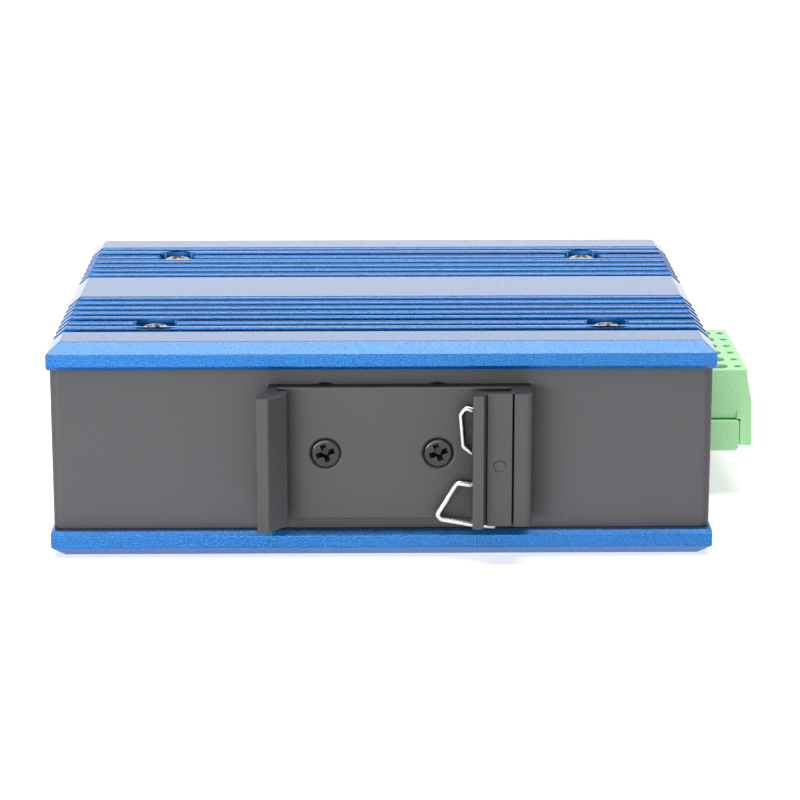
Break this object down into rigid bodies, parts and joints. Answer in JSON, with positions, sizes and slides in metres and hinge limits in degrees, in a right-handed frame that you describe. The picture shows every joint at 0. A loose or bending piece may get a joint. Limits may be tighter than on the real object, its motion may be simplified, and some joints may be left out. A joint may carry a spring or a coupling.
{
  "type": "din rail ethernet switch",
  "caption": "Slim industrial ethernet switch with blue finned side panels, a black sheet housing, a rail clip with a wire spring and a plug-in green terminal block.",
  "frame": {"origin": "centre of the lower side panel's outer face, on which the switch lies", "axes": "+X along the body towards the end with the terminals, -Y to the rail clip at the rear, +Y to the ports, +Z through the thickness"},
  "size_m": [0.1255, 0.0962, 0.038],
  "materials": {
    "blue_anodised": "sand-blasted and blue anodised, satin",
    "black_housing": "fine satin black powder coat",
    "black_clip": "satin black anodised extrusion",
    "black_screw": "black oxide, slightly glossy",
    "steel_screw": "nickel plated",
    "spring_steel": "bright spring wire",
    "zinc_steel": "zinc plated",
    "terminal_green": "pale green moulded polyamide",
    "board_green": "solder-masked laminate",
    "tinned_pin": "tinned",
    "contact_gold": "gold plated",
    "jack_shield": "nickel plated sheet",
    "jack_black": "moulded plastic",
    "clear_light": "clear moulded light pipe",
    "chip_black": "moulded package",
    "pad_grey": "soft heat-conducting pad",
    "capacitor_sleeve": "shrunk sleeve",
    "ferrite": "moulded ferrite",
    "crystal_can": "drawn can",
    "lamp_white": "lamp body",
    "fuse_body": "ceramic tube with end caps"
  },
  "bodies": {
    "body": {"lower_side_panel": "blue_anodised", "upper_side_panel": "blue_anodised", "lower_panel_screws": "steel_screw", "upper_panel_screws": "steel_screw", "housing_shell": "black_housing", "front_panel": "black_housing", "front_panel_screws": "black_screw", "board_spacers": "zinc_steel", "panel_pillars": "zinc_steel", "clip_plate": "black_clip", "clip_spring_pin": "black_clip", "clip_screws": "black_screw", "rear_screws": "black_screw", "clip_nut_plate": "zinc_steel", "clip_spring": "spring_steel", "main_board": "board_green", "terminal_header": "terminal_green", "terminal_pins": "tinned_pin", "light_pipe": "clear_light", "status_lamps": "lamp_white", "power_controller": "chip_black", "switch_chip": "chip_black", "thermal_pad": "pad_grey", "alarm_relay": "chip_black", "input_capacitor_1": "capacitor_sleeve", "input_capacitor_2": "capacitor_sleeve", "power_inductor": "ferrite", "clock_crystal": "crystal_can", "input_fuse": "fuse_body", "port_1_shield": "jack_shield", "port_1_insert": "jack_black", "port_1_contacts": "contact_gold", "line_transformer_1": "chip_black", "port_2_shield": "jack_shield", "port_2_insert": "jack_black", "port_2_contacts": "contact_gold", "line_transformer_2": "chip_black", "port_3_shield": "jack_shield", "port_3_insert": "jack_black", "port_3_contacts": "contact_gold", "line_transformer_3": "chip_black", "port_4_shield": "jack_shield", "port_4_insert": "jack_black", "port_4_contacts": "contact_gold", "line_transformer_4": "chip_black"},
    "plug": {"terminal_plug": "terminal_green", "plug_contacts": "tinned_pin"},
    "clamp_screw_1": {"clamp_screw_1": "steel_screw"},
    "clamp_cage_1": {"clamp_cage_1": "zinc_steel"},
    "clamp_screw_2": {"clamp_screw_2": "steel_screw"},
    "clamp_cage_2": {"clamp_cage_2": "zinc_steel"},
    "clamp_screw_3": {"clamp_screw_3": "steel_screw"},
    "clamp_cage_3": {"clamp_cage_3": "zinc_steel"},
    "clamp_screw_4": {"clamp_screw_4": "steel_screw"},
    "clamp_cage_4": {"clamp_cage_4": "zinc_steel"},
    "clamp_screw_5": {"clamp_screw_5": "steel_screw"},
    "clamp_cage_5": {"clamp_cage_5": "zinc_steel"},
    "clamp_screw_6": {"clamp_screw_6": "steel_screw"},
    "clamp_cage_6": {"clamp_cage_6": "zinc_steel"}
  },
  "joints": [
    {"name": "plug_pull", "type": "slide", "parent": "body", "child": "plug", "axis": [1, 0, 0], "range_m": [0, 0.012]},
    {"name": "clamp_turn_1", "type": "hinge", "parent": "plug", "child": "clamp_screw_1", "pos_m": [0.06245, -0.00605, 0.0223], "axis": [0, 0, 1], "range_deg": [-1080, 0]},
    {"name": "clamp_lift_1", "type": "slide", "parent": "plug", "child": "clamp_cage_1", "axis": [0, 0, 1], "range_m": [0, 0.0015]},
    {"name": "clamp_turn_2", "type": "hinge", "parent": "plug", "child": "clamp_screw_2", "pos_m": [0.06245, -0.00097, 0.0223], "axis": [0, 0, 1], "range_deg": [-1080, 0]},
    {"name": "clamp_lift_2", "type": "slide", "parent": "plug", "child": "clamp_cage_2", "axis": [0, 0, 1], "range_m": [0, 0.0015]},
    {"name": "clamp_turn_3", "type": "hinge", "parent": "plug", "child": "clamp_screw_3", "pos_m": [0.06245, 0.00411, 0.0223], "axis": [0, 0, 1], "range_deg": [-1080, 0]},
    {"name": "clamp_lift_3", "type": "slide", "parent": "plug", "child": "clamp_cage_3", "axis": [0, 0, 1], "range_m": [0, 0.0015]},
    {"name": "clamp_turn_4", "type": "hinge", "parent": "plug", "child": "clamp_screw_4", "pos_m": [0.06245, 0.00919, 0.0223], "axis": [0, 0, 1], "range_deg": [-1080, 0]},
    {"name": "clamp_lift_4", "type": "slide", "parent": "plug", "child": "clamp_cage_4", "axis": [0, 0, 1], "range_m": [0, 0.0015]},
    {"name": "clamp_turn_5", "type": "hinge", "parent": "plug", "child": "clamp_screw_5", "pos_m": [0.06245, 0.01427, 0.0223], "axis": [0, 0, 1], "range_deg": [-1080, 0]},
    {"name": "clamp_lift_5", "type": "slide", "parent": "plug", "child": "clamp_cage_5", "axis": [0, 0, 1], "range_m": [0, 0.0015]},
    {"name": "clamp_turn_6", "type": "hinge", "parent": "plug", "child": "clamp_screw_6", "pos_m": [0.06245, 0.01935, 0.0223], "axis": [0, 0, 1], "range_deg": [-1080, 0]},
    {"name": "clamp_lift_6", "type": "slide", "parent": "plug", "child": "clamp_cage_6", "axis": [0, 0, 1], "range_m": [0, 0.0015]}
  ],
  "couplings": [
    {"joint": "clamp_turn_1", "follows": "clamp_lift_1", "rad_per_m": -12566},
    {"joint": "clamp_turn_2", "follows": "clamp_lift_2", "rad_per_m": -12566},
    {"joint": "clamp_turn_3", "follows": "clamp_lift_3", "rad_per_m": -12566},
    {"joint": "clamp_turn_4", "follows": "clamp_lift_4", "rad_per_m": -12566},
    {"joint": "clamp_turn_5", "follows": "clamp_lift_5", "rad_per_m": -12566},
    {"joint": "clamp_turn_6", "follows": "clamp_lift_6", "rad_per_m": -12566}
  ]
}
